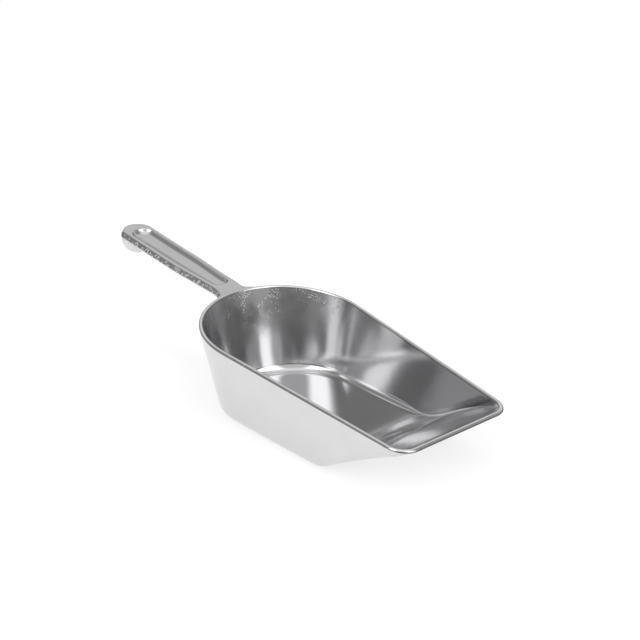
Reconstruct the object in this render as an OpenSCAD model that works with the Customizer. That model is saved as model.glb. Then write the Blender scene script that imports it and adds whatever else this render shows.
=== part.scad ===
// A flat-bottomed ice scoop, cast in aluminium in one piece. X runs along the scoop with the
// pouring lip towards +X and the handle towards -X, and Z is up. It stands on its flat floor,
// and the origin is on that floor, under the middle of its length. The casting is drawn as
// named regions that meet face to face.

/* [Bowl] */
// Outside width of the bowl across its rounded back
bowl_w = 86; // [80:1:92]
// Distance from the centre of the rounded back to the pouring lip
lip_reach = 114.7; // [108:0.1:122]
// Outside width at the pouring lip
lip_w = 68.2; // [62:0.2:74]
// Radius of the two corners of the lip, seen from above
lip_corner_r = 9.6; // [8:0.2:12]
// Height of the rim at the back
back_h = 46.6; // [44:0.2:50]
// Height of the rim at the lip
lip_h = 27.2; // [25:0.2:30]
// Thickness of the cast wall
wall_t = 2.2; // [2:0.1:2.6]
// Thickness of the cast floor
floor_t = 2.6; // [2.2:0.1:3.2]
// Thickness of the very edge of the lip
lip_t = 1.2; // [0.8:0.1:1.4]
// Width of the land along the top of the lip
lip_land = 2.6; // [2:0.1:3]
// Lean of the wall at the back, in degrees from upright
back_lean = 12.8; // [10:0.2:14]
// Lean of the wall beside the rounded back, which fades to upright at the lip
side_lean = 10.7; // [8:0.1:12]
// Length of the ramp under the bowl, and the length of its upper face
ramp_len = 53.3; // [48:0.1:58]
inner_ramp_len = 49.8; // [46:0.1:54]
// Radius under the bowl between wall and floor, at the back and beside the ramp
outer_r = 7.5; // [5:0.5:9]
outer_front_r = 4; // [3:0.5:6]
// Radius inside the bowl between wall and floor: at the back, at the sides and beside the ramp
inner_back_r = 4.5; // [3:0.1:6]
inner_r = 4; // [2:0.1:4]
inner_front_r = 0.6; // [0.5:0.1:1.5]

/* [Handle] */
// Distance from the centre of the rounded back to the end of the handle
handle_reach = 135.8; // [130:0.5:145]
// Slope of the top of the handle, in degrees
handle_slope = 7.25; // [6:0.25:8]
// Width of the handle at the neck
neck_w = 14; // [12:0.5:15]
// Width of the handle at its middle
grip_w = 16.6; // [15.5:0.1:18]
// Width of the handle at its end
end_w = 16.5; // [16:0.1:18]
// Height of the sides of the handle, above the parting line
side_h = 2.5; // [2:0.1:3.5]
// How far each side slopes out from the top down to the parting line
side_draft = 1; // [0.5:0.05:1.2]
// Depth of the rounded underside of the handle, below the parting line
under_h = 5.1; // [4:0.1:6]
// Depth of the heel that hangs under the end, below the parting line
heel_h = 9.6; // [8:0.2:11]
// Depth of the hollow in the top of the handle
hollow_depth = 2.6; // [1.5:0.1:3]
// Width of the rail on each side of the hollow
rail_w = 2; // [1.6:0.1:3]
// Length of the flat margin between the hollow and the end
end_margin = 7.5; // [6:0.5:9]
// Radius of the flare that carries the neck into the rim
flare_r = 4.5; // [3.5:0.5:5.5]

/* [Hidden] */

// Steps along a lip corner, a straight side and half of the rounded back
corner_steps = 7;
side_steps = 12;
back_steps = 19;
// Steps around the floor radius and around the half-round rim
fillet_steps = 6;
nose_steps = 6;
// Steps along the grip and across half of its underside
grip_steps = 18;
under_steps = 7;

half_t = wall_t / 2;
back_r = bowl_w / 2;
// The frame's origin is under the middle of the overall length
centre_x = (handle_reach - lip_reach) / 2;
rim_fall = (back_h - lip_h) / (lip_reach + back_r);
// Flat floor between the end of the floor radius and the border of the wall region
border = 1.5;
// Shortest run of the wall region down the ramp, at the lip
lip_run = 1.5;
// Shortest fillet, kept at the lip so that no face closes up
fillet_min = 0.2;
// Where the radius inside the bowl goes over from back to side, and from side to front
back_fade = [-25, 0];
front_fade = [38, 65];

// The floor and ramp of each skin: [floor height, foot of the ramp, length of the ramp, its rise,
// half length of the soft bend at its foot, bow of the ramp]
outer_face = [0, lip_reach - ramp_len, ramp_len, lip_h - lip_t, 4, 0.18];
inner_face = [floor_t, lip_reach - inner_ramp_len, inner_ramp_len, lip_h - floor_t, 13, 0.5];

// Centre of a lip corner, and the angle at which the sides leave the round back
corner_x = lip_reach - lip_corner_r;
corner_y = lip_w / 2 - lip_corner_r;
side_angle = atan2(corner_y, corner_x) + acos((back_r - lip_corner_r) / norm([corner_x, corner_y]));

function mix(a, b, t) = a + (b - a) * t;
function smooth(t) = t * t * (3 - 2 * t);
function share(x, a, b) = smooth(min(max((x - a) / (b - a), 0), 1));
function rim_z(x) = back_h - rim_fall * (x + back_r);

// Height and slope of a face of the floor and ramp
function bend(u, b) = u < -b ? 0 : u > b ? u : pow(u + b, 2) / (4 * b);
function bend_rate(u, b) = u < -b ? 0 : u > b ? 1 : (u + b) / (2 * b);
function face_z(face, x) =
    let (t = bend(x - face[1], face[4]) / face[2])
    face[0] + face[3] * ((1 + face[5]) * t - face[5] * t * t);
function face_slope(face, x) =
    let (t = bend(x - face[1], face[4]) / face[2])
    face[3] / face[2] * (1 + face[5] - 2 * face[5] * t) * bend_rate(x - face[1], face[4]);

// Stations along half of the rim, from the lip to the back: [x, y, outward angle, lean, wall],
// where wall rises from 0 at the lip to 1 where the lip's corner ends
function fading_lean(x) = side_lean * (1 - min(1, x / corner_x));
half_rim = concat(
    [for (i = [0 : corner_steps])
        let (a = side_angle * i / corner_steps)
        [corner_x + lip_corner_r * cos(a), corner_y + lip_corner_r * sin(a), a, 0,
         smooth(i / corner_steps)]],
    [for (i = [1 : side_steps - 1])
        let (t = i / side_steps, r = mix(lip_corner_r, back_r, t),
             x = corner_x * (1 - t) + r * cos(side_angle))
        [x, corner_y * (1 - t) + r * sin(side_angle), side_angle, fading_lean(x), 1]],
    [for (i = [0 : back_steps])
        let (t = i / (back_steps + 0.5), a = mix(side_angle, 180, t))
        [back_r * cos(a), back_r * sin(a), a,
         mix(fading_lean(back_r * cos(side_angle)), back_lean, smooth(t)), 1]]);
half_count = len(half_rim);

// How far the rounded edge reaches below the rim at the lip, on its inner side
lip_drop = rim_z(lip_reach - lip_land) - face_z(inner_face, lip_reach - lip_land);

// A point of a station's rounded edge at angle a, as [inward distance, height]. Angle 0 is on the
// outer side, 90 on top and 180 on the inner side.
function edge_point(s, a) =
    let (half = mix(lip_land, wall_t, s[4]) / 2,
         drop = mix(a < 90 ? lip_t : lip_drop, half_t, s[4]),
         inward = half - half * cos(a))
    [inward, rim_z(s[0] - inward * cos(s[2])) - drop * (1 - sin(a))];

// Inward distance at which the wall below the start point meets the floor or ramp, in n rounds
function foot_in(s, start, face, n) =
    let (run = lip_run * (1 - s[4]))
    n == 0 ? start[0] + run :
    let (d = foot_in(s, start, face, n - 1),
         h = start[1] - face_z(face, s[0] - cos(s[2]) * d))
    start[0] + max(h * tan(s[3]), run);

// One skin at a station, as [inward distance, height], from the start point on the rounded edge
// down the wall and around radius r to the floor
function section(s, start, face, r) =
    let (nx = cos(s[2]),
         d = foot_in(s, start, face, 5),
         corner = [d, face_z(face, s[0] - nx * d)],
         wall = corner - start,
         lean = atan2(wall[0], -wall[1]),
         fall = atan(face_slope(face, s[0] - nx * d) * nx),
         open = 90 + lean + fall,
         tangent = max(fillet_min, min(r / tan(open / 2), 0.9 * norm(wall))),
         a = corner - tangent * wall / norm(wall),
         b_in = d + tangent * cos(fall),
         b = [b_in, face_z(face, s[0] - nx * b_in)],
         end_in = b_in + border,
         w = sin(open / 2))
    concat(
        [start],
        [for (i = [0 : fillet_steps])
            let (t = i / fillet_steps,
                 c0 = (1 - t) * (1 - t),
                 c1 = 2 * t * (1 - t) * w,
                 c2 = t * t)
            (c0 * a + c1 * corner + c2 * b) / (c0 + c1 + c2)],
        [[end_in, face_z(face, s[0] - nx * end_in)]]);
column_count = fillet_steps + 3;

// A station's points, as [inward distance, height], placed on the bowl
function placed(s, row) =
    [for (q = row) [s[0] - q[0] * cos(s[2]), s[1] - q[0] * sin(s[2]), q[1]]];
function mirrored(row) = [for (p = row) [p[0], -p[1], p[2]]];
function both(half) = concat(half, [for (i = [half_count - 1 : -1 : 0]) mirrored(half[i])]);

function outer_radius(s) =
    mix(outer_r, outer_front_r, min(1, (s[0] + back_r) / (outer_face[1] + back_r)));
function inner_radius(s) =
    mix(mix(inner_back_r, inner_r, share(s[0], back_fade[0], back_fade[1])),
        inner_front_r, share(s[0], front_fade[0], front_fade[1]));
half_outer = [for (s = half_rim)
    placed(s, section(s, edge_point(s, -s[3]), outer_face, outer_radius(s)))];
half_inner = [for (s = half_rim)
    placed(s, section(s, edge_point(s, 180 - s[3]), inner_face, inner_radius(s)))];
// Both halves, from one end of the lip around the back to the other
outer_rows = both(half_outer);
inner_rows = both(half_inner);

// The rounded edge of a station, from its outer skin over the top to its inner skin
half_nose = [for (s = half_rim)
    placed(s, [for (i = [0 : nose_steps]) edge_point(s, 180 * i / nose_steps - s[3])])];
nose_rows = both(half_nose);

// Straight rungs across the bowl, from the back to the lip, for one skin
function rung(p) = [[p[0], -p[1], p[2]], [p[0], p[1], p[2]]];
function rungs(half) = concat(
    [for (i = [half_count - 1 : -1 : 0]) rung(half[i][column_count - 1])],
    [for (j = [column_count - 2 : -1 : 0]) rung(half[0][j])]);
outer_rungs = rungs(half_outer);
inner_rungs = rungs(half_inner);
floor_rungs = len([for (r = outer_rungs) if (r[0][0] < outer_face[1] - outer_face[4]) r]);
rung_count = len(outer_rungs);

// The handle's own frame starts at the back of the rim and is tipped up by handle_slope. There
// u is the distance towards the handle's end, and x = -u.
tip_u = (handle_reach - back_r) / cos(handle_slope);
end_r = end_w / 2;
heel_r = end_r + side_draft;
end_u = tip_u - heel_r;
heel_start = end_u - heel_r;
neck_end = 7.5;
grip_mid = 45;
// Sections of the neck, which starts inside the bowl's wall, and of the hollow's round end
neck_us = [-4, -1, 0, 0.3, 0.9, 1.8, 3, flare_r, 6];
hollow_us = [0, 0.5, 0.8, 1.6, 2.6, 3.8];
// The hollow is part of a long egg whose centre stands this far over the handle's top
hollow_lift = 1;
// Radius of the upper edges, and lift of the rails over the rim
edge_r = 0.6;
rail_lift = 0.6;
rail_sag = 0.4;
// Lean of the underside just below the parting line
under_lean = 25;
under_b = under_h / (1 - sin(under_lean));
// Power of the curve that rounds the bottom of the heel
heel_power = 2.6;

function flare(u) = u > flare_r ? 0 : u < 0 ? flare_r : flare_r - sqrt(u * (2 * flare_r - u));
function half_width(u) = flare(u)
    + mix(neck_w, grip_w, share(u, neck_end, grip_mid)) / 2
    + (end_w - grip_w) / 2 * share(u, grip_mid, end_u - end_r);
function top_z(u) = share(u, 1.5, neck_end) * (rail_lift - rail_sag
    + rail_sag * pow((u - grip_mid) / (grip_mid - neck_end), 2)) - 0.03;

// Plan radii of the hollow's two rounded ends, and the middles of those ends
near_r = neck_w / 2 - rail_w;
far_r = end_r - rail_w;
near_u = neck_end + 0.5 + near_r;
far_u = end_u + end_r - end_margin - far_r;
// The hollow is the lower part of a long egg that is this many times as wide and as deep
egg_wide = 1 / sqrt(1 - pow(hollow_lift / (hollow_depth + hollow_lift), 2));

// How far u lies into a rounded end of the hollow, from 0 to 1
function end_share(u) = min(1, max(0, (near_u - u) / near_r, (u - far_u) / far_r));
function hollow_half(u) = max(0.5,
    (half_width(u) - rail_w) * sqrt(1 - pow(end_share(u), 2)));
// Depth of the hollow at share t of its half width
function hollow_z(u, t) =
    let (s = end_share(u), q = (s * s + t * t * (1 - s * s)) / (egg_wide * egg_wide))
    hollow_lift - (hollow_depth + hollow_lift) * sqrt(1 - q);

// Half of the handle's cross-section, from the middle of its top to the middle of its underside
function half_section(u) =
    let (w = half_width(u), h = hollow_half(u))
    concat(
        [for (t = [0, 0.3, 0.55, 0.75, 0.9, 1]) [t * h, min(0, hollow_z(u, t))]],
        [[w - edge_r, 0], [w - edge_r * 0.29, -edge_r * 0.29], [w, -edge_r]],
        [for (i = [0 : under_steps])
            let (a = mix(under_lean, 90, i / under_steps))
            [(w + side_draft) * cos(a) / cos(under_lean), -side_h - under_b * (sin(a) - sin(under_lean))]]);
function ring(u) =
    let (half = half_section(u), n = len(half))
    [for (i = [0 : 2 * n - 3])
        let (p = i < n ? half[i] : half[2 * n - 2 - i])
        [-u, i < n ? -p[0] : p[0], p[1] + top_z(u)]];

function slice(list, first, last) = [for (i = [first : last]) list[i]];
function joined(rows) = [for (row = rows) each row];

// The band of faces between point list a and point list b, both of them n points long
function band(a, b, n) = [for (j = [0 : n - 2]) each
    [[a + j, b + j, b + j + 1], [a + j, b + j + 1, a + j + 1]]];

// A plate between two skins, each of them rows of points
module plate(outer, inner) {
    n = len(outer);
    m = len(outer[0]);
    shift = n * m;
    outside = [for (i = [0 : n - 2]) each band(i * m, (i + 1) * m, m)];
    inside = [for (f = outside) [shift + f[0], shift + f[2], shift + f[1]]];
    ends = concat(
        [for (f = band(0, shift, m)) [f[0], f[2], f[1]]],
        band(shift - m, 2 * shift - m, m));
    sides = [for (i = [0 : n - 2]) each
        [[i * m, shift + i * m, shift + (i + 1) * m],
         [i * m, shift + (i + 1) * m, (i + 1) * m],
         [i * m + m - 1, shift + (i + 1) * m + m - 1, shift + i * m + m - 1],
         [i * m + m - 1, (i + 1) * m + m - 1, shift + (i + 1) * m + m - 1]]];
    polyhedron(joined(concat(outer, inner)), concat(outside, inside, ends, sides));
}

// One face that closes a ring of m points
function flat_cap(m) = [[for (j = [0 : m - 1]) j]];

// Faces that close a section of the handle, in upright slices between its top and its underside
function sliced_cap(n, m) =
    let (side = concat(
        [for (k = [0 : under_steps - 1]) each
            [[k, k + 1, n - 1 - k], [k + 1, n - 2 - k, n - 1 - k]]],
        [[under_steps, under_steps + 1, under_steps + 2]]))
    concat(side, [for (f = side) [(m - f[0]) % m, (m - f[2]) % m, (m - f[1]) % m]]);

// A bar through closed rings of points, with the faces that close a ring
module bar(rings, cap) {
    n = len(rings);
    m = len(rings[0]);
    skin = [for (i = [0 : n - 2], j = [0 : m - 1]) each
        let (a = i * m, b = (i + 1) * m, k = (j + 1) % m)
        [[a + j, b + k, b + j], [a + j, a + k, b + k]]];
    near = [for (f = cap) [for (j = [len(f) - 1 : -1 : 0]) f[j]]];
    far = [for (f = cap) [for (j = f) (n - 1) * m + j]];
    polyhedron(joined(rings), concat(skin, near, far));
}

// A stretch of the handle through its sections at the places in list us
module handle_bar(us) {
    rings = [for (u = us) ring(u)];
    m = len(rings[0]);
    bar(rings, sliced_cap(m / 2 + 1, m));
}

module bowl_floor() {
    color("silver")
    translate([centre_x, 0, 0])
    plate(slice(outer_rungs, 0, floor_rungs - 1), slice(inner_rungs, 0, floor_rungs - 1));
}

module front_ramp() {
    color("gainsboro")
    translate([centre_x, 0, 0])
    plate(slice(outer_rungs, floor_rungs - 1, rung_count - 1),
          slice(inner_rungs, floor_rungs - 1, rung_count - 1));
}

module wall_shape() plate(outer_rows, inner_rows);

module rim_shape() bar(nose_rows, flat_cap(nose_steps + 1));

module bowl_wall() {
    color("lightgray")
    translate([centre_x, 0, 0])
    wall_shape();
}

module rim_edge() {
    color("whitesmoke")
    translate([centre_x, 0, 0])
    rim_shape();
}

module lip_edge() {
    color("white")
    translate([centre_x, 0, 0])
    bar([mirrored(half_nose[0]), half_nose[0]], flat_cap(nose_steps + 1));
}

module handle_frame() {
    translate([centre_x - back_r, 0, back_h])
    rotate([0, handle_slope, 0])
    children();
}

// The end of the hollow that lies in the heel, as a space
module hollow_tip() {
    wide = far_r * egg_wide;
    hull() {
        for (u = [far_u, heel_start - 2])
            translate([-u, 0, top_z(end_u) + hollow_lift])
            scale([wide, wide, hollow_depth + hollow_lift])
            sphere(1, $fn = 24);
    }
}

// A thin level disc of the handle's end, at a depth below the top
module end_disc(u, r, depth) {
    translate([-u, 0, top_z(end_u) - depth - 0.02])
    cylinder(0.02, r, r, $fn = 48);
}

module handle_neck() {
    color("darkgray")
    difference() {
        handle_frame()
        handle_bar(concat(neck_us, [neck_end]));
        translate([centre_x, 0, 0])
        hull() {
            wall_shape();
            rim_shape();
        }
    }
}

module handle_grip() {
    color("silver")
    handle_frame()
    handle_bar(concat(
        [for (step = hollow_us) neck_end + step],
        [for (i = [0 : grip_steps]) mix(near_u, heel_start, i / grip_steps)]));
}

module handle_heel() {
    color("gainsboro")
    handle_frame()
    difference() {
        hull() {
            handle_bar([for (t = [0 : 0.25 : 1]) mix(heel_start, end_u, t)]);
            end_disc(end_u, end_r - edge_r, 0);
            end_disc(end_u, end_r, edge_r);
            end_disc(end_u, heel_r, side_h);
            for (t = [0.4, 0.65, 0.85, 0.97])
                end_disc(end_u, heel_r * pow(1 - pow(t, heel_power), 1 / heel_power),
                         side_h + heel_h * t);
        }
        hollow_tip();
    }
}

bowl_floor();
front_ramp();
bowl_wall();
rim_edge();
lip_edge();
handle_neck();
handle_grip();
handle_heel();
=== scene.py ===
import math

import bpy
import numpy as np
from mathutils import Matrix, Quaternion, Vector


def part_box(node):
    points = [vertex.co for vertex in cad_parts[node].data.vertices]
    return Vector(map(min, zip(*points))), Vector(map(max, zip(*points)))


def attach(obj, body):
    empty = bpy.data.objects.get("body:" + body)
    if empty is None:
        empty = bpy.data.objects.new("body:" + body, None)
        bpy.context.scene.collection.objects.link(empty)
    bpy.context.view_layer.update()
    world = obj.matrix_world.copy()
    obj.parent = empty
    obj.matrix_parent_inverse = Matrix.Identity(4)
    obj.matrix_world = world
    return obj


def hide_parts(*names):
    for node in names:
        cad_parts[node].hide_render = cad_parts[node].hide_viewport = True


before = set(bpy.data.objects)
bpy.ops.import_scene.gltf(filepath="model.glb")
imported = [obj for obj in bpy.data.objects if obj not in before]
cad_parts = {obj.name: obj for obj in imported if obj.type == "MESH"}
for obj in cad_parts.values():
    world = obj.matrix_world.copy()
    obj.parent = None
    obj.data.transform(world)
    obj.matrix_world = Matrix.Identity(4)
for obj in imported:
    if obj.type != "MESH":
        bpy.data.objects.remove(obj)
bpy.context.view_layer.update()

# ---------------------------------------------------------------- dimensions, in millimetres
BACK_R, LIP_CORNER_R, LIP_W = 43.0, 9.6, 68.2
BACK_H, LIP_H, LIP_REACH = 46.6, 27.2, 114.7
WALL_T, FLOOR_T, LIP_T, LIP_LAND = 2.2, 2.6, 1.2, 2.6
BACK_LEAN, SIDE_LEAN = 12.8, 10.7
RAMP_LEN, INNER_RAMP_LEN = 53.3, 49.8
OUTER_R, OUTER_FRONT_R = 7.5, 4.0
INNER_BACK_R, INNER_R, INNER_FRONT_R = 4.5, 4.0, 0.6
HANDLE_REACH, HANDLE_SLOPE = 135.8, 7.25
NECK_W, GRIP_W, END_W = 14.0, 16.6, 16.5
SIDE_H, SIDE_DRAFT, UNDER_H, HEEL_H = 2.5, 1.0, 5.1, 9.6
HOLLOW_DEPTH, HOLLOW_LIFT, RAIL_W, END_MARGIN = 2.6, 1.0, 2.0, 7.5
FLARE_R, NECK_END, GRIP_MID = 4.5, 7.5, 45.0
EDGE_R, UNDER_LEAN, HEEL_POWER = 0.6, 25.0, 2.6
HALF_T = WALL_T / 2
BORDER, LIP_RUN, FILLET_MIN = 1.5, 1.5, 0.2
BACK_FADE, FRONT_FADE = (-25, 0), (38, 65)
# The lip's box says where the bowl stands along X
SHIFT_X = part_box("lip_edge")[1].x * 1000 - LIP_REACH

# Steps of the mesh along half of the rim, down the wall and around its rounded places
CORNER_STEPS, SIDE_STEPS, BACK_STEPS = 16, 44, 54
WALL_STEPS, FILLET_STEPS, NOSE_STEPS = 6, 16, 12


def sind(a):
    return np.sin(np.radians(a))


def cosd(a):
    return np.cos(np.radians(a))


def mix(a, b, t):
    return a + (b - a) * t


def smooth(t):
    t = np.clip(t, 0, 1)
    return t * t * (3 - 2 * t)


def soft_max(a, b, k):
    """The larger of a and b, with the corner between them rounded over k."""
    h = np.clip(0.5 + (a - b) / (2 * k), 0, 1)
    return mix(b, a, h) + k * h * (1 - h)


# ---------------------------------------------------------------- meshes
class Shell:
    """One continuous skin that several pieces are cut from, so shading runs on across them."""

    def __init__(self):
        self.points = []
        self.faces = {}
        self.caps = {}
        self.normals = None

    def add(self, points):
        start = len(self.points)
        self.points.extend(tuple(float(c) for c in p) for p in points)
        return list(range(start, len(self.points)))

    def skin(self, piece, faces):
        self.faces.setdefault(piece, []).extend(tuple(f) for f in faces)

    def cap(self, piece, faces):
        self.caps.setdefault(piece, []).extend(tuple(f) for f in faces)

    def finish(self):
        pts = np.array(self.points)
        normals = np.zeros_like(pts)
        for faces in self.faces.values():
            for f in faces:
                n = newell(pts[list(f)])
                for v in f:
                    normals[v] += n
        length = np.linalg.norm(normals, axis=1, keepdims=True)
        self.normals = normals / np.maximum(length, 1e-12)


def newell(p):
    q = np.roll(p, -1, axis=0)
    return np.cross(p, q).sum(axis=0) / 2


def grid_faces(rows, closed=False):
    """Quads between rows of vertex numbers; closed joins the last column to the first."""
    faces = []
    for a, b in zip(rows, rows[1:]):
        n = len(a)
        for j in range(n if closed else n - 1):
            k = (j + 1) % n
            faces.append((a[j], b[j], b[k], a[k]))
    return faces


def flip(faces):
    return [tuple(reversed(f)) for f in faces]


def build(shell, piece, name):
    """A mesh object of one piece of a shell, in metres."""
    skin = shell.faces[piece]
    faces = skin + shell.caps.get(piece, [])
    used = sorted({v for f in faces for v in f})
    number = {v: i for i, v in enumerate(used)}
    pts = np.array(shell.points)
    mesh = bpy.data.meshes.new(name)
    mesh.from_pydata([pts[v] / 1000 for v in used], [], [[number[v] for v in f] for f in faces])
    loops = []
    for i, f in enumerate(faces):
        flat = newell(pts[list(f)])
        flat /= max(np.linalg.norm(flat), 1e-12)
        loops.extend(shell.normals[v] if i < len(skin) else flat for v in f)
    mesh.polygons.foreach_set("use_smooth", [True] * len(faces))
    mesh.normals_split_custom_set([tuple(n) for n in loops])
    mesh.update()
    obj = bpy.data.objects.new(name, mesh)
    bpy.context.scene.collection.objects.link(obj)
    return obj


# ---------------------------------------------------------------- bowl
CORNER_X, CORNER_Y = LIP_REACH - LIP_CORNER_R, LIP_W / 2 - LIP_CORNER_R
SIDE_ANGLE = math.degrees(math.atan2(CORNER_Y, CORNER_X)
                          + math.acos((BACK_R - LIP_CORNER_R) / math.hypot(CORNER_X, CORNER_Y)))


def share(x, a, b):
    return smooth((x - a) / (b - a))


def rim_z(x):
    return BACK_H - (BACK_H - LIP_H) / (LIP_REACH + BACK_R) * (x + BACK_R)


class Face:
    """Floor and ramp of one skin. half is half the length of the soft bend at the ramp's foot."""

    def __init__(self, floor, length, rise, half, bow):
        self.floor, self.foot, self.length = floor, LIP_REACH - length, length
        self.rise, self.half, self.bow = rise, half, bow

    def share(self, x):
        u = x - self.foot
        soft = (u + self.half) ** 2 / (4 * self.half)
        return np.where(u < -self.half, 0, np.where(u > self.half, u, soft)) / self.length

    def z(self, x):
        t = self.share(x)
        return self.floor + self.rise * ((1 + self.bow) * t - self.bow * t * t)

    def slope(self, x):
        rate = np.clip((x - self.foot + self.half) / (2 * self.half), 0, 1)
        return self.rise / self.length * (1 + self.bow - 2 * self.bow * self.share(x)) * rate


OUTER = Face(0, RAMP_LEN, LIP_H - LIP_T, 4, 0.18)
INNER = Face(FLOOR_T, INNER_RAMP_LEN, LIP_H - FLOOR_T, 13, 0.5)
LIP_DROP = rim_z(LIP_REACH - LIP_LAND) - float(INNER.z(LIP_REACH - LIP_LAND))


def fading_lean(x):
    return SIDE_LEAN * (1 - min(1, x / CORNER_X))


def rim_stations():
    """Rows of [x, y, outward angle, lean, wall] along half of the rim, from lip to back."""
    rows = []
    for i in range(CORNER_STEPS + 1):
        t = i / CORNER_STEPS
        a = SIDE_ANGLE * t
        rows.append([CORNER_X + LIP_CORNER_R * cosd(a), CORNER_Y + LIP_CORNER_R * sind(a), a, 0,
                     smooth(t)])
    for i in range(1, SIDE_STEPS):
        t = i / SIDE_STEPS
        r = mix(LIP_CORNER_R, BACK_R, t)
        x = CORNER_X * (1 - t) + r * cosd(SIDE_ANGLE)
        rows.append([x, CORNER_Y * (1 - t) + r * sind(SIDE_ANGLE), SIDE_ANGLE, fading_lean(x), 1])
    for i in range(BACK_STEPS + 1):
        t = i / (BACK_STEPS + 0.5)
        a = mix(SIDE_ANGLE, 180, t)
        lean = mix(fading_lean(BACK_R * cosd(SIDE_ANGLE)), BACK_LEAN, smooth(t))
        rows.append([BACK_R * cosd(a), BACK_R * sind(a), a, lean, 1])
    return np.array(rows)


def edge_point(s, a):
    """A point of the rounded edge at angle a: 0 outside, 90 on top, 180 inside."""
    half = mix(LIP_LAND, WALL_T, s[4]) / 2
    drop = mix(LIP_T if a < 90 else LIP_DROP, HALF_T, s[4])
    inward = half - half * cosd(a)
    return np.array([inward, rim_z(s[0] - inward * cosd(s[2])) - drop * (1 - sind(a))])


def section(s, start, face, r):
    """One skin at a station: rows of [inward, height] from the rim, round r, to the floor."""
    nx = cosd(s[2])
    run = LIP_RUN * (1 - s[4])
    d = start[0] + run
    for _ in range(8):
        h = start[1] - face.z(s[0] - nx * d)
        d = start[0] + max(h * math.tan(math.radians(s[3])), run)
    corner = np.array([d, float(face.z(s[0] - nx * d))])
    wall = corner - start
    length = float(np.hypot(*wall))
    lean = math.degrees(math.atan2(wall[0], -wall[1]))
    fall = math.degrees(math.atan(float(face.slope(s[0] - nx * d)) * nx))
    opening = 90 + lean + fall
    tangent = max(FILLET_MIN, min(r / math.tan(math.radians(opening / 2)), 0.9 * length))
    a = corner - tangent * wall / length
    b_in = d + tangent * cosd(fall)
    b = np.array([b_in, float(face.z(s[0] - nx * b_in))])
    w = sind(opening / 2)
    rows = [mix(start, a, i / WALL_STEPS) for i in range(WALL_STEPS)]
    for i in range(FILLET_STEPS + 1):
        t = i / FILLET_STEPS
        c0, c1, c2 = (1 - t) ** 2, 2 * t * (1 - t) * w, t * t
        rows.append((c0 * a + c1 * corner + c2 * b) / (c0 + c1 + c2))
    for step in (0.5, 1.0):
        end_in = b_in + BORDER * step
        rows.append(np.array([end_in, float(face.z(s[0] - nx * end_in))]))
    return np.array(rows)


def outer_radius(s):
    return mix(OUTER_R, OUTER_FRONT_R, min(1, (s[0] + BACK_R) / (OUTER.foot + BACK_R)))


def inner_radius(s):
    r = mix(INNER_BACK_R, INNER_R, share(s[0], *BACK_FADE))
    return mix(r, INNER_FRONT_R, share(s[0], *FRONT_FADE))


def place(s, rows):
    """Points of a station's section in the frame, in millimetres."""
    rows = np.asarray(rows)
    return np.stack([s[0] - rows[:, 0] * cosd(s[2]) + SHIFT_X, s[1] - rows[:, 0] * sind(s[2]),
                     rows[:, 1]], axis=1)


def mirrored(points):
    return points * np.array([1, -1, 1])


def make_bowl():
    shell = Shell()
    outer, inner, nose = [], [], []
    for s in rim_stations():
        lean = s[3]
        outer.append(place(s, section(s, edge_point(s, -lean), OUTER, outer_radius(s))))
        inner.append(place(s, section(s, edge_point(s, 180 - lean), INNER, inner_radius(s))))
        angles = 180 * np.arange(1, NOSE_STEPS) / NOSE_STEPS - lean
        nose.append(place(s, [edge_point(s, a) for a in angles]))
    halves = [rows + [mirrored(r) for r in reversed(rows)] for rows in (outer, inner, nose)]
    out, inn, mid = [[shell.add(r) for r in rows] for rows in halves]
    nose_rows = [[o[0], *m, i[0]] for o, m, i in zip(out, mid, inn)]
    count = len(outer)

    shell.skin("bowl_wall", flip(grid_faces(out)) + grid_faces(inn))
    for rows in ([o[0] for o in out], [i[0] for i in inn]), ([i[-1] for i in inn], [o[-1] for o in out]):
        shell.cap("bowl_wall", flip(grid_faces(rows)))
    shell.cap("bowl_wall", grid_faces([out[0], inn[0]]) + grid_faces([inn[-1], out[-1]]))

    shell.skin("rim_edge", grid_faces(nose_rows))
    shell.cap("rim_edge", grid_faces([[o[0] for o in out], [i[0] for i in inn]]))
    shell.cap("rim_edge", [tuple(nose_rows[0]), tuple(reversed(nose_rows[-1]))])

    shell.skin("lip_edge", grid_faces([nose_rows[-1], nose_rows[0]]))
    shell.cap("lip_edge", [(out[0][0], out[-1][0], inn[-1][0], inn[0][0]),
                           tuple(reversed(nose_rows[0])), tuple(nose_rows[-1])])

    # Straight rungs across the bowl, from the back to the lip
    last = len(out) - 1
    ladders = []
    for skin in (out, inn):
        rungs = [[skin[last - i][-1], skin[i][-1]] for i in range(count - 1, -1, -1)]
        rungs += [[skin[last][j], skin[0][j]] for j in range(len(skin[0]) - 2, -1, -1)]
        ladders.append(rungs)
    under, upper = ladders
    split = sum(1 for r in under if shell.points[r[0]][0] - SHIFT_X < OUTER.foot - OUTER.half)
    for piece, part in (("bowl_floor", slice(0, split)), ("front_ramp", slice(split - 1, None))):
        low, high = under[part], upper[part]
        shell.skin(piece, flip(grid_faces(low)) + grid_faces(high))
        for side in (0, 1):
            edge = grid_faces([[r[side] for r in low], [r[side] for r in high]])
            shell.cap(piece, edge if side else flip(edge))
        shell.cap(piece, grid_faces([low[0], high[0]]) + grid_faces([high[-1], low[-1]]))
    shell.finish()
    return shell


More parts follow.
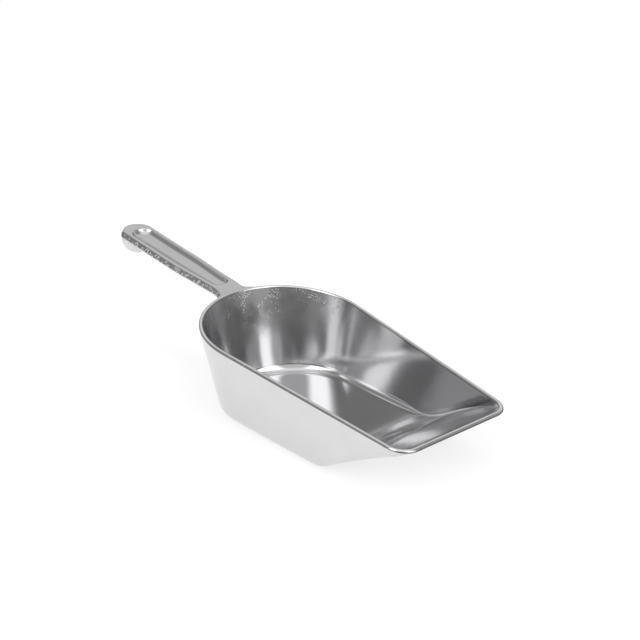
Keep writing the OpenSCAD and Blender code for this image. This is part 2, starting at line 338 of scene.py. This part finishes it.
# ---------------------------------------------------------------- handle
TILT = math.radians(HANDLE_SLOPE)
TIP_U = (HANDLE_REACH - BACK_R) / math.cos(TILT)
END_R = END_W / 2
HEEL_R = END_R + SIDE_DRAFT
END_U = TIP_U - HEEL_R
HEEL_START = END_U - HEEL_R
UNDER_B = UNDER_H / (1 - sind(UNDER_LEAN))
RAIL_LIFT, RAIL_SAG = 0.6, 0.4
NEAR_R, FAR_R = NECK_W / 2 - RAIL_W, END_R - RAIL_W
NEAR_U, FAR_U = NECK_END + 0.5 + NEAR_R, END_U + END_R - END_MARGIN - FAR_R
EGG_WIDE = 1 / math.sqrt(1 - (HOLLOW_LIFT / (HOLLOW_DEPTH + HOLLOW_LIFT)) ** 2)
UNDER_STEPS = 26
LIFT_START, TOP_SINK = 1.5, 0.03
EDGE_SOFT, HEEL_SOFT = 0.18, 0.8


def half_width(u):
    w = mix(NECK_W, GRIP_W, share(u, NECK_END, GRIP_MID)) / 2
    w += (END_W - GRIP_W) / 2 * share(u, GRIP_MID, END_U - END_R)
    return math.sqrt(END_R ** 2 - (u - END_U) ** 2) if u > END_U else w


def top_z(u):
    sag = RAIL_SAG * ((u - GRIP_MID) / (GRIP_MID - NECK_END)) ** 2
    return share(u, LIFT_START, NECK_END) * (RAIL_LIFT - RAIL_SAG + sag) - TOP_SINK


def hollow(u, y, half):
    """Height of the handle's top at u and y, with the edge of the hollow rounded."""
    s = np.maximum(np.maximum((NEAR_U - u) / NEAR_R, (u - FAR_U) / FAR_R), 0)
    q = np.minimum((s * s + (y / half) ** 2) / EGG_WIDE ** 2, 1)
    depth = (HOLLOW_DEPTH + HOLLOW_LIFT) * np.sqrt(1 - q) - HOLLOW_LIFT
    return -soft_max(depth, np.zeros_like(y), EDGE_SOFT)


def lobe_depth(rho):
    """Depth of the heel below the parting line at a distance from its middle."""
    t = np.clip(1 - (rho / HEEL_R) ** HEEL_POWER, 0, 1)
    return HEEL_H * t ** (1 / HEEL_POWER)


# Places across half of the handle: shares of its half width, and offsets from the hollow's edge
UNDER_SHARE = np.maximum(np.cos(np.linspace(0, math.pi / 2, UNDER_STEPS + 1)), 0) ** (2 / HEEL_POWER)
SIDE_SHARES = np.array([0.12, 0.3, 0.5, 0.7, 0.85, 0.95])
TOP_SHARES = [0, 0.12, 0.24, 0.36, 0.48, 0.6, 0.7, 0.79, 0.86, 0.92]
EDGE_OFFSETS = [-0.3, -0.18, -0.08, 0, 0.08, 0.18, 0.3, 0.45]
# Steps along the handle, with closer ones where the hollow's near end starts
CLOSE_OFFSETS = [0.25, 0.5, 0.75, 1.0, 1.3, 1.6, 2, 2.4, 2.9, 3.4, 4, 4.6]
NECK_STEPS, GRIP_STEPS, HEEL_STEPS, TURN_STEPS = 24, 69, 43, 40


def half_section(u):
    """Half of the handle's section: [y, z] from the middle of the top to the middle below."""
    w = half_width(u)
    h = max(half_width(min(u, END_U)) - RAIL_W, 0.1)
    y = np.array([t * h for t in TOP_SHARES] + [h + d for d in EDGE_OFFSETS])
    rows = [np.stack([y, hollow(u, y, h)], axis=1)]
    a = np.radians(np.linspace(90, 0, 8))
    rows.append(np.stack([w - EDGE_R + EDGE_R * np.cos(a), EDGE_R * (np.sin(a) - 1)], axis=1))
    low = w + SIDE_DRAFT
    y = w + SIDE_DRAFT * SIDE_SHARES
    rows.append(np.stack([y, -EDGE_R - (SIDE_H - EDGE_R) * SIDE_SHARES], axis=1))
    wide = low
    if u > HEEL_START:
        wide = max(low, math.sqrt(max(HEEL_R ** 2 - (END_U - u) ** 2, 0)))
    y = wide * UNDER_SHARE
    depth = UNDER_B * (np.sqrt(1 - np.minimum(y * cosd(UNDER_LEAN) / low, 1) ** 2) - sind(UNDER_LEAN))
    depth = np.maximum(depth, 0)
    if u > HEEL_START - 2:
        lobe = lobe_depth(np.hypot(END_U - u, y))
        depth = np.where(UNDER_SHARE > 0.9999, 0, soft_max(depth, lobe, HEEL_SOFT) - 0.2 * (lobe < 0))
    rows.append(np.stack([y, -SIDE_H - depth], axis=1))
    return np.concatenate(rows)


def to_frame(u, y, z):
    """Points of the handle's own frame in the model's frame, in millimetres."""
    x = -BACK_R - u * math.cos(TILT) + z * math.sin(TILT) + SHIFT_X
    up = BACK_H + u * math.sin(TILT) + z * math.cos(TILT)
    return np.stack([x, y, up], axis=1)


def wall_u(y, z):
    """Where the bowl's outer skin stands in the handle's frame, at y and z."""
    u = np.zeros_like(y)
    for _ in range(4):
        up = BACK_H + u * math.sin(TILT) + z * math.cos(TILT)
        down = np.maximum(BACK_H - HALF_T * (1 + sind(BACK_LEAN)) - up, 0)
        r = BACK_R - HALF_T * (1 - cosd(BACK_LEAN)) - down * math.tan(math.radians(BACK_LEAN))
        u = (np.sqrt(np.maximum(r * r - y * y, 1)) - BACK_R + z * math.sin(TILT)) / math.cos(TILT)
    return u


def flare(d, r):
    d = np.clip(d, 0, r)
    return r - np.sqrt(d * (2 * r - d))


def neck_ring(t):
    """A section between the middle of the bowl's wall (t = 0) and the grip (t = 1)."""
    base = half_section(NECK_END)
    w = half_width(NECK_END)
    y, z = base[:, 0], base[:, 1]
    for _ in range(4):
        wall = wall_u(y, z)
        u = mix(wall - HALF_T, NECK_END, t)
        grow = flare(u - wall, FLARE_R)
        y = base[:, 0] * (1 + grow / w)
        z = base[:, 1] - 0.35 * grow * np.clip((-base[:, 1] - SIDE_H) / UNDER_H, 0, 1)
    lift = np.array([top_z(v) for v in np.maximum(u, 0)])
    return u, y, z + lift


def make_handle():
    shell = Shell()
    rings = []

    def ring(u, y, z):
        right = to_frame(u, y, z)
        left = to_frame(u, -y, z)[-2:0:-1]
        rings.append(shell.add(np.concatenate([right, left])))

    def bar_rings(us):
        for u in us:
            q = half_section(u)
            ring(np.full(len(q), u), q[:, 0], q[:, 1] + top_z(u))

    for t in np.linspace(0, 1, NECK_STEPS + 1):
        ring(*neck_ring(t))
    neck = len(rings)
    close = NECK_END + np.array(CLOSE_OFFSETS)
    bar_rings(close)
    bar_rings(np.linspace(close[-1], HEEL_START, GRIP_STEPS + 1)[1:])
    grip = len(rings)
    bar_rings(np.linspace(HEEL_START, END_U, HEEL_STEPS + 1)[1:])

    shell.skin("handle_neck", flip(grid_faces(rings[:neck], True)))
    shell.skin("handle_grip", flip(grid_faces(rings[neck - 1:grip], True)))
    shell.skin("handle_heel", flip(grid_faces(rings[grip - 1:], True)))

    # The rounded end turns about the middle of the heel
    base = half_section(END_U)
    n = len(base)
    m = 2 * n - 2
    last = rings[-1]
    lift = top_z(END_U)
    under = n - UNDER_STEPS - 1
    top = len(TOP_SHARES) + len(EDGE_OFFSETS)
    profiles = [[last[j] for j in range(n)]]
    for angle in np.linspace(90, -90, TURN_STEPS + 1)[1:-1]:
        c = cosd(angle)
        rho, z = base[:, 0], base[:, 1].copy()
        z[:top] = hollow(END_U + rho[:top] * c, rho[:top] * sind(angle), END_R - RAIL_W)
        p = to_frame(END_U + rho * c, rho * sind(angle), z + lift)
        ids = shell.add(p[1:-1])
        profiles.append([last[0], *ids, last[n - 1]])
    profiles.append([last[(m - j) % m] for j in range(n)])
    faces = []
    for a, b in zip(profiles, profiles[1:]):
        for j in range(n - 1):
            quad = [a[j], a[j + 1], b[j + 1], b[j]]
            quad = [v for i, v in enumerate(quad) if v != quad[i - 1]]
            faces.append(tuple(quad))
    shell.skin("handle_heel", faces)

    def ladder(ids):
        """Faces that fill a closed section, between its top and its underside."""
        made = []
        for side in (1, -1):
            top = [ids[(side * j) % m] for j in range(0, under + 1)]
            low = [ids[(side * j) % m] for j in range(n - 1, under - 1, -1)]
            i = j = 0
            while i < len(top) - 1 or j < len(low) - 1:
                step_top = j == len(low) - 1 or (i < len(top) - 1 and i / len(top) <= j / len(low))
                if step_top:
                    tri = (top[i], top[i + 1], low[j])
                    i += 1
                else:
                    tri = (top[i], low[j + 1], low[j])
                    j += 1
                if len(set(tri)) == 3:
                    made.append(tri if side == 1 else tuple(reversed(tri)))
        return made

    for piece, first, final in (("handle_neck", 0, neck - 1), ("handle_grip", neck - 1, grip - 1),
                                ("handle_heel", grip - 1, None)):
        shell.cap(piece, flip(ladder(rings[first])))
        if final is not None:
            shell.cap(piece, ladder(rings[final]))
    shell.finish()
    return shell


bowl = make_bowl()
handle = make_handle()
pieces = {}
for shell in (bowl, handle):
    for key in shell.faces:
        obj = build(shell, key, key + "_cast")
        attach(obj, "root")
        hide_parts(key)
        pieces[key] = obj


# ---------------------------------------------------------------- materials
class Graph:
    """Small helper for node trees: every call adds one node and returns its output."""

    def __init__(self, tree):
        self.nodes, self.links = tree.nodes, tree.links

    def node(self, kind, *inputs, out=0, **settings):
        made = self.nodes.new(kind)
        for key, value in settings.items():
            setattr(made, key, value)
        for slot, value in enumerate(inputs):
            if isinstance(value, bpy.types.NodeSocket):
                self.links.new(value, made.inputs[slot])
            else:
                made.inputs[slot].default_value = value
        return made.outputs[out]

    def math(self, operation, *inputs):
        return self.node("ShaderNodeMath", *inputs, operation=operation)

    def product(self, first, *others):
        for other in others:
            first = self.math("MULTIPLY", first, other)
        return first

    def sum_of(self, total, *terms):
        """total plus each of the terms, which are pairs of a value and its weight."""
        for value, weight in terms:
            total = self.math("ADD", total, self.math("MULTIPLY", value, weight))
        return total

    def split(self, vector):
        made = self.nodes.new("ShaderNodeSeparateXYZ")
        self.links.new(vector, made.inputs[0])
        return made.outputs

    def noise(self, where, scale, detail, rough):
        """Noise from 0 to 1 at a place, with scale in features per metre."""
        made = self.nodes.new("ShaderNodeTexNoise")
        self.links.new(where, made.inputs["Vector"])
        made.inputs["Scale"].default_value = scale
        made.inputs["Detail"].default_value = detail
        made.inputs["Roughness"].default_value = rough
        return made.outputs["Fac"]

    def spots(self, where, scale, low, high):
        """1 in the middle of scattered spots and 0 between them, with their spacing from scale."""
        made = self.nodes.new("ShaderNodeTexVoronoi")
        self.links.new(where, made.inputs["Vector"])
        made.inputs["Scale"].default_value = scale
        return self.ramp(made.outputs["Distance"], high, low)

    def stretched(self, where, factors, turn=(0, 0, 0)):
        """A place turned by angles in radians and multiplied along each axis."""
        made = self.nodes.new("ShaderNodeMapping")
        self.links.new(where, made.inputs["Vector"])
        made.inputs["Rotation"].default_value = turn
        made.inputs["Scale"].default_value = factors
        return made.outputs["Vector"]

    def bump(self, height, depth, normal=None):
        """A normal bent by a height from 0 to 1 that is depth metres deep."""
        made = self.nodes.new("ShaderNodeBump")
        made.inputs["Distance"].default_value = depth
        self.links.new(height, made.inputs["Height"])
        if normal is not None:
            self.links.new(normal, made.inputs["Normal"])
        return made.outputs["Normal"]

    def ramp(self, value, low, high, start=0.0, end=1.0):
        """value from low to high carried smoothly to start to end."""
        return self.node("ShaderNodeMapRange", value, low, high, start, end,
                         interpolation_type="SMOOTHSTEP")


def metal(name):
    """A new metal's material, graph and shader, and the place of a point on it."""
    mat = bpy.data.materials.new(name)
    mat.use_nodes = True
    g = Graph(mat.node_tree)
    bsdf = g.nodes["Principled BSDF"]
    bsdf.inputs["Metallic"].default_value = 1
    where = g.node("ShaderNodeTexCoord", out=3)
    return mat, g, bsdf, where


def finish_metal(g, bsdf, tone, rough, normal):
    color = g.nodes.new("ShaderNodeCombineColor")
    for k, tint in enumerate(TINT):
        g.links.new(g.math("MULTIPLY", tone, tint), color.inputs[k])
    g.links.new(color.outputs[0], bsdf.inputs["Base Color"])
    g.links.new(rough, bsdf.inputs["Roughness"])
    g.links.new(normal, bsdf.inputs["Normal"])


# The very slightly cool colour of aluminium
TINT = (1.0, 1.0, 1.012)
# Depths of the metal's relief, in metres
WAVE_DEPTH, WORN_DEPTH, PIT_DEPTH, LUMP_DEPTH = 9e-5, 6.5e-6, 6e-5, 5.5e-4
RIM_WAVE_DEPTH, FILED_DEPTH, NICK_DEPTH = 5e-5, 6e-6, 8e-5
# The rough band on the handle's sides: its middle over the parting line, and the half width of
# the handle outside which it lies, from nothing to full, in millimetres
SEAM_LIFT, SEAM_FROM, SEAM_FULL = 0.9, 6.2, 7.0


def cast_polish():
    """Machine-polished casting: clear low down, cloudy and pitted towards the top of the back."""
    mat, g, bsdf, where = metal("cast_polish")
    x, y, z = g.split(where)
    back_x = (SHIFT_X - BACK_R) / 1000
    on_handle = g.ramp(x, back_x - 0.001, back_x - 0.004)
    patches = g.noise(where, 90.0, 3.0, 0.6)

    # How cloudy the polish is: most near the top of the back wall, and not at all on the handle
    high = g.ramp(z, 0.016, 0.044)
    rear = g.ramp(x, back_x + 0.085, back_x + 0.010)
    on_bowl = g.math("SUBTRACT", 1.0, on_handle)
    cloudy = g.product(high, rear, on_bowl, g.ramp(patches, 0.25, 0.52))

    # Rubbing marks, weaker towards the lip: level streaks on the walls and crossed strokes
    streaks = g.noise(g.stretched(where, (1, 1, 30)), 110.0, 4.0, 0.65)
    strokes = g.noise(g.stretched(where, (1, 16, 1), (0.3, 0.2, 0.5)), 160.0, 3.0, 0.6)
    cross = g.noise(g.stretched(where, (14, 1, 1), (0.1, -0.3, 0.35)), 190.0, 3.0, 0.6)
    rubbed = g.sum_of(0.0, (strokes, 0.5), (cross, 0.5))
    strength = g.product(g.ramp(x, back_x + 0.105, back_x + 0.040, 0.05, 1.0),
                         g.sum_of(1.0, (on_handle, -0.5)))
    worn = g.product(g.sum_of(0.0, (rubbed, 0.45), (streaks, 0.55)), strength)

    # Casting pits: dense on the cloudy metal, rare and faint elsewhere
    gate = g.ramp(g.noise(where, 170.0, 2.0, 0.5), 0.44, 0.60)
    pits = g.product(g.spots(where, 1150.0, 0.14, 0.42), cloudy, gate)
    specks = g.product(g.spots(where, 520.0, 0.04, 0.16), gate, 0.12)
    pitted = g.math("MAXIMUM", pits, specks)

    # Rough lumps above the parting line, on the sides of the handle
    climb = g.math("MULTIPLY", g.math("SUBTRACT", back_x, x), math.tan(TILT))
    level = g.math("SUBTRACT", z, climb)
    off_line = g.math("ABSOLUTE", g.math("SUBTRACT", level, (BACK_H - SIDE_H + SEAM_LIFT) / 1000))
    outside = g.ramp(g.math("ABSOLUTE", y), SEAM_FROM / 1000, SEAM_FULL / 1000)
    seam = g.product(g.ramp(off_line, 0.0015, 0.0006), on_handle, outside)
    lumps = g.product(seam, g.spots(where, 560.0, 0.15, 0.48))
    marked = g.math("MAXIMUM", pitted, seam)

    normal = g.bump(g.noise(where, 48.0, 2.0, 0.5), WAVE_DEPTH)
    normal = g.bump(worn, WORN_DEPTH, normal)
    normal = g.bump(pitted, PIT_DEPTH, normal)
    normal = g.bump(lumps, LUMP_DEPTH, normal)
    rough = g.sum_of(0.085, (patches, 0.05), (g.product(rubbed, strength), 0.03), (cloudy, 0.10),
                     (marked, 0.12), (on_handle, 0.04))
    tone = g.sum_of(0.63, (patches, 0.06), (marked, -0.14), (lumps, 0.20))
    finish_metal(g, bsdf, tone, rough, normal)
    return mat


def rim_polish():
    """Buffed edge: bright along its crest, with painted shade darkening it beside the walls, and small
    dull nicks.
    """
    mat, g, bsdf, where = metal("rim_polish")
    x, _, z = g.split(where)
    fall = (BACK_H - LIP_H) / (LIP_REACH + BACK_R)
    crest_start = (BACK_H + fall * (SHIFT_X - BACK_R)) / 1000
    crest = g.math("MULTIPLY_ADD", x, -fall, crest_start)
    # Painted shade: the edge's colour is darkened from just below its crest down to where it meets the
    # walls, standing in for the darker room that it reflects there
    painted_edge_shade = g.ramp(g.math("SUBTRACT", crest, z), 0.00025, 0.0007)
    patches = g.noise(where, 260.0, 3.0, 0.6)
    nicks = g.spots(where, 260.0, 0.05, 0.20)
    filed = g.noise(g.stretched(where, (1, 1, 12), (0.4, 0.1, 0)), 420.0, 3.0, 0.6)
    normal = g.bump(patches, RIM_WAVE_DEPTH)
    normal = g.bump(filed, FILED_DEPTH, normal)
    normal = g.bump(nicks, NICK_DEPTH, normal)
    rough = g.sum_of(0.06, (patches, 0.06), (nicks, 0.10))
    tone = g.sum_of(0.76, (patches, 0.10), (nicks, -0.20), (painted_edge_shade, -0.52))
    finish_metal(g, bsdf, tone, rough, normal)
    return mat


cast = cast_polish()
rim = rim_polish()
for key, obj in pieces.items():
    obj.data.materials.append(rim if key in ("rim_edge", "lip_edge") else cast)


# ---------------------------------------------------------------- floor, light and camera
FLOOR_HALF, FLOOR_TONE, FLOOR_GLOW = 0.6, 0.6, 0.56


def stage_floor():
    """A pale floor that glows a little, as the white of a lit studio table does."""
    mesh = bpy.data.meshes.new("floor")
    r = FLOOR_HALF
    mesh.from_pydata([(-r, -r, 0), (r, -r, 0), (r, r, 0), (-r, r, 0)], [], [(0, 1, 2, 3)])
    obj = bpy.data.objects.new("floor", mesh)
    bpy.context.scene.collection.objects.link(obj)
    mat = bpy.data.materials.new("floor_white")
    mat.use_nodes = True
    bsdf = mat.node_tree.nodes["Principled BSDF"]
    bsdf.inputs["Base Color"].default_value = (FLOOR_TONE, FLOOR_TONE, FLOOR_TONE, 1)
    bsdf.inputs["Roughness"].default_value = 0.9
    bsdf.inputs["Emission Color"].default_value = (1, 1, 1, 1)
    bsdf.inputs["Emission Strength"].default_value = FLOOR_GLOW
    mesh.materials.append(mat)


stage_floor()

# The studio, as seen from the scoop: a grey room that is the same on both sides of the camera,
# with soft panels in it that are lighter or darker than the room. For each: its turn from the
# camera's side of the room, its half width, its lower and upper elevation and its soft edge, in
# degrees, and how much brighter it is than the room. A half width of 200 goes all the way round.
ROOM = 0.7
CAMERA_SIDE = 50
PANELS = [
    # A soft light overhead, and a dark band low down
    (0, 200, 70, 100, 15, 0.3),
    (0, 200, -20, 20, 15, -0.5),
]
for side in (-1, 1):
    # A tall soft box and, further round, a dark card
    PANELS.append((side * 50, 20, 10, 70, 15, 1.4))
    PANELS.append((side * 110, 30, 30, 60, 15, -0.4))


def studio():
    """A grey room with the soft panels in it, as the world's light."""
    world = bpy.data.worlds.new("studio")
    bpy.context.scene.world = world
    world.use_nodes = True
    g = Graph(world.node_tree)
    x, y, z = g.split(g.node("ShaderNodeTexCoord", out=0))
    azimuth = g.math("DEGREES", g.math("ARCTAN2", x, g.math("MULTIPLY", y, -1.0)))
    elevation = g.math("DEGREES", g.math("ARCSINE", z))
    total = ROOM
    for centre, half, low, high, soft, level in PANELS:
        turn = g.math("SUBTRACT", azimuth, float(CAMERA_SIDE + centre))
        turn = g.math("WRAP", turn, 180.0, -180.0)
        across = g.ramp(g.math("ABSOLUTE", turn), half + soft / 2, half - soft / 2)
        above = g.ramp(elevation, low - soft / 2, low + soft / 2)
        below = g.ramp(elevation, high + soft / 2, high - soft / 2)
        share = g.math("MULTIPLY", across, g.math("MULTIPLY", above, below))
        total = g.math("ADD", total, g.math("MULTIPLY", share, float(level)))
    # The camera itself sees plain white behind the floor
    seen = g.nodes.new("ShaderNodeLightPath").outputs["Is Camera Ray"]
    total = g.math("MAXIMUM", total, seen)
    background = g.nodes["Background"]
    g.links.new(total, background.inputs["Strength"])
    background.inputs["Color"].default_value = (1, 1, 1, 1)


studio()

# The point that the camera looks at, and its direction, roll and distance from there
AIM = Vector((SHIFT_X - 1.83, 21.75, 36.96)) / 1000
CAM_AZIMUTH, CAM_ELEVATION, CAM_ROLL, CAM_DISTANCE = 49.611, 22.729, -1.0185, 0.69922
camera = bpy.data.objects.new("camera", bpy.data.cameras.new("camera"))
camera.data.lens, camera.data.sensor_width = 79.64, 36
a, e = math.radians(CAM_AZIMUTH), math.radians(CAM_ELEVATION)
back = Vector((math.sin(a) * math.cos(e), -math.cos(a) * math.cos(e), math.sin(e)))
camera.location = AIM + back * CAM_DISTANCE
camera.rotation_mode = "QUATERNION"
turn = Quaternion((0, 0, 1), math.radians(CAM_ROLL))
camera.rotation_quaternion = (-back).to_track_quat("-Z", "Y") @ turn
bpy.context.scene.collection.objects.link(camera)
bpy.context.scene.camera = camera
bpy.context.scene.view_settings.view_transform = "Standard"
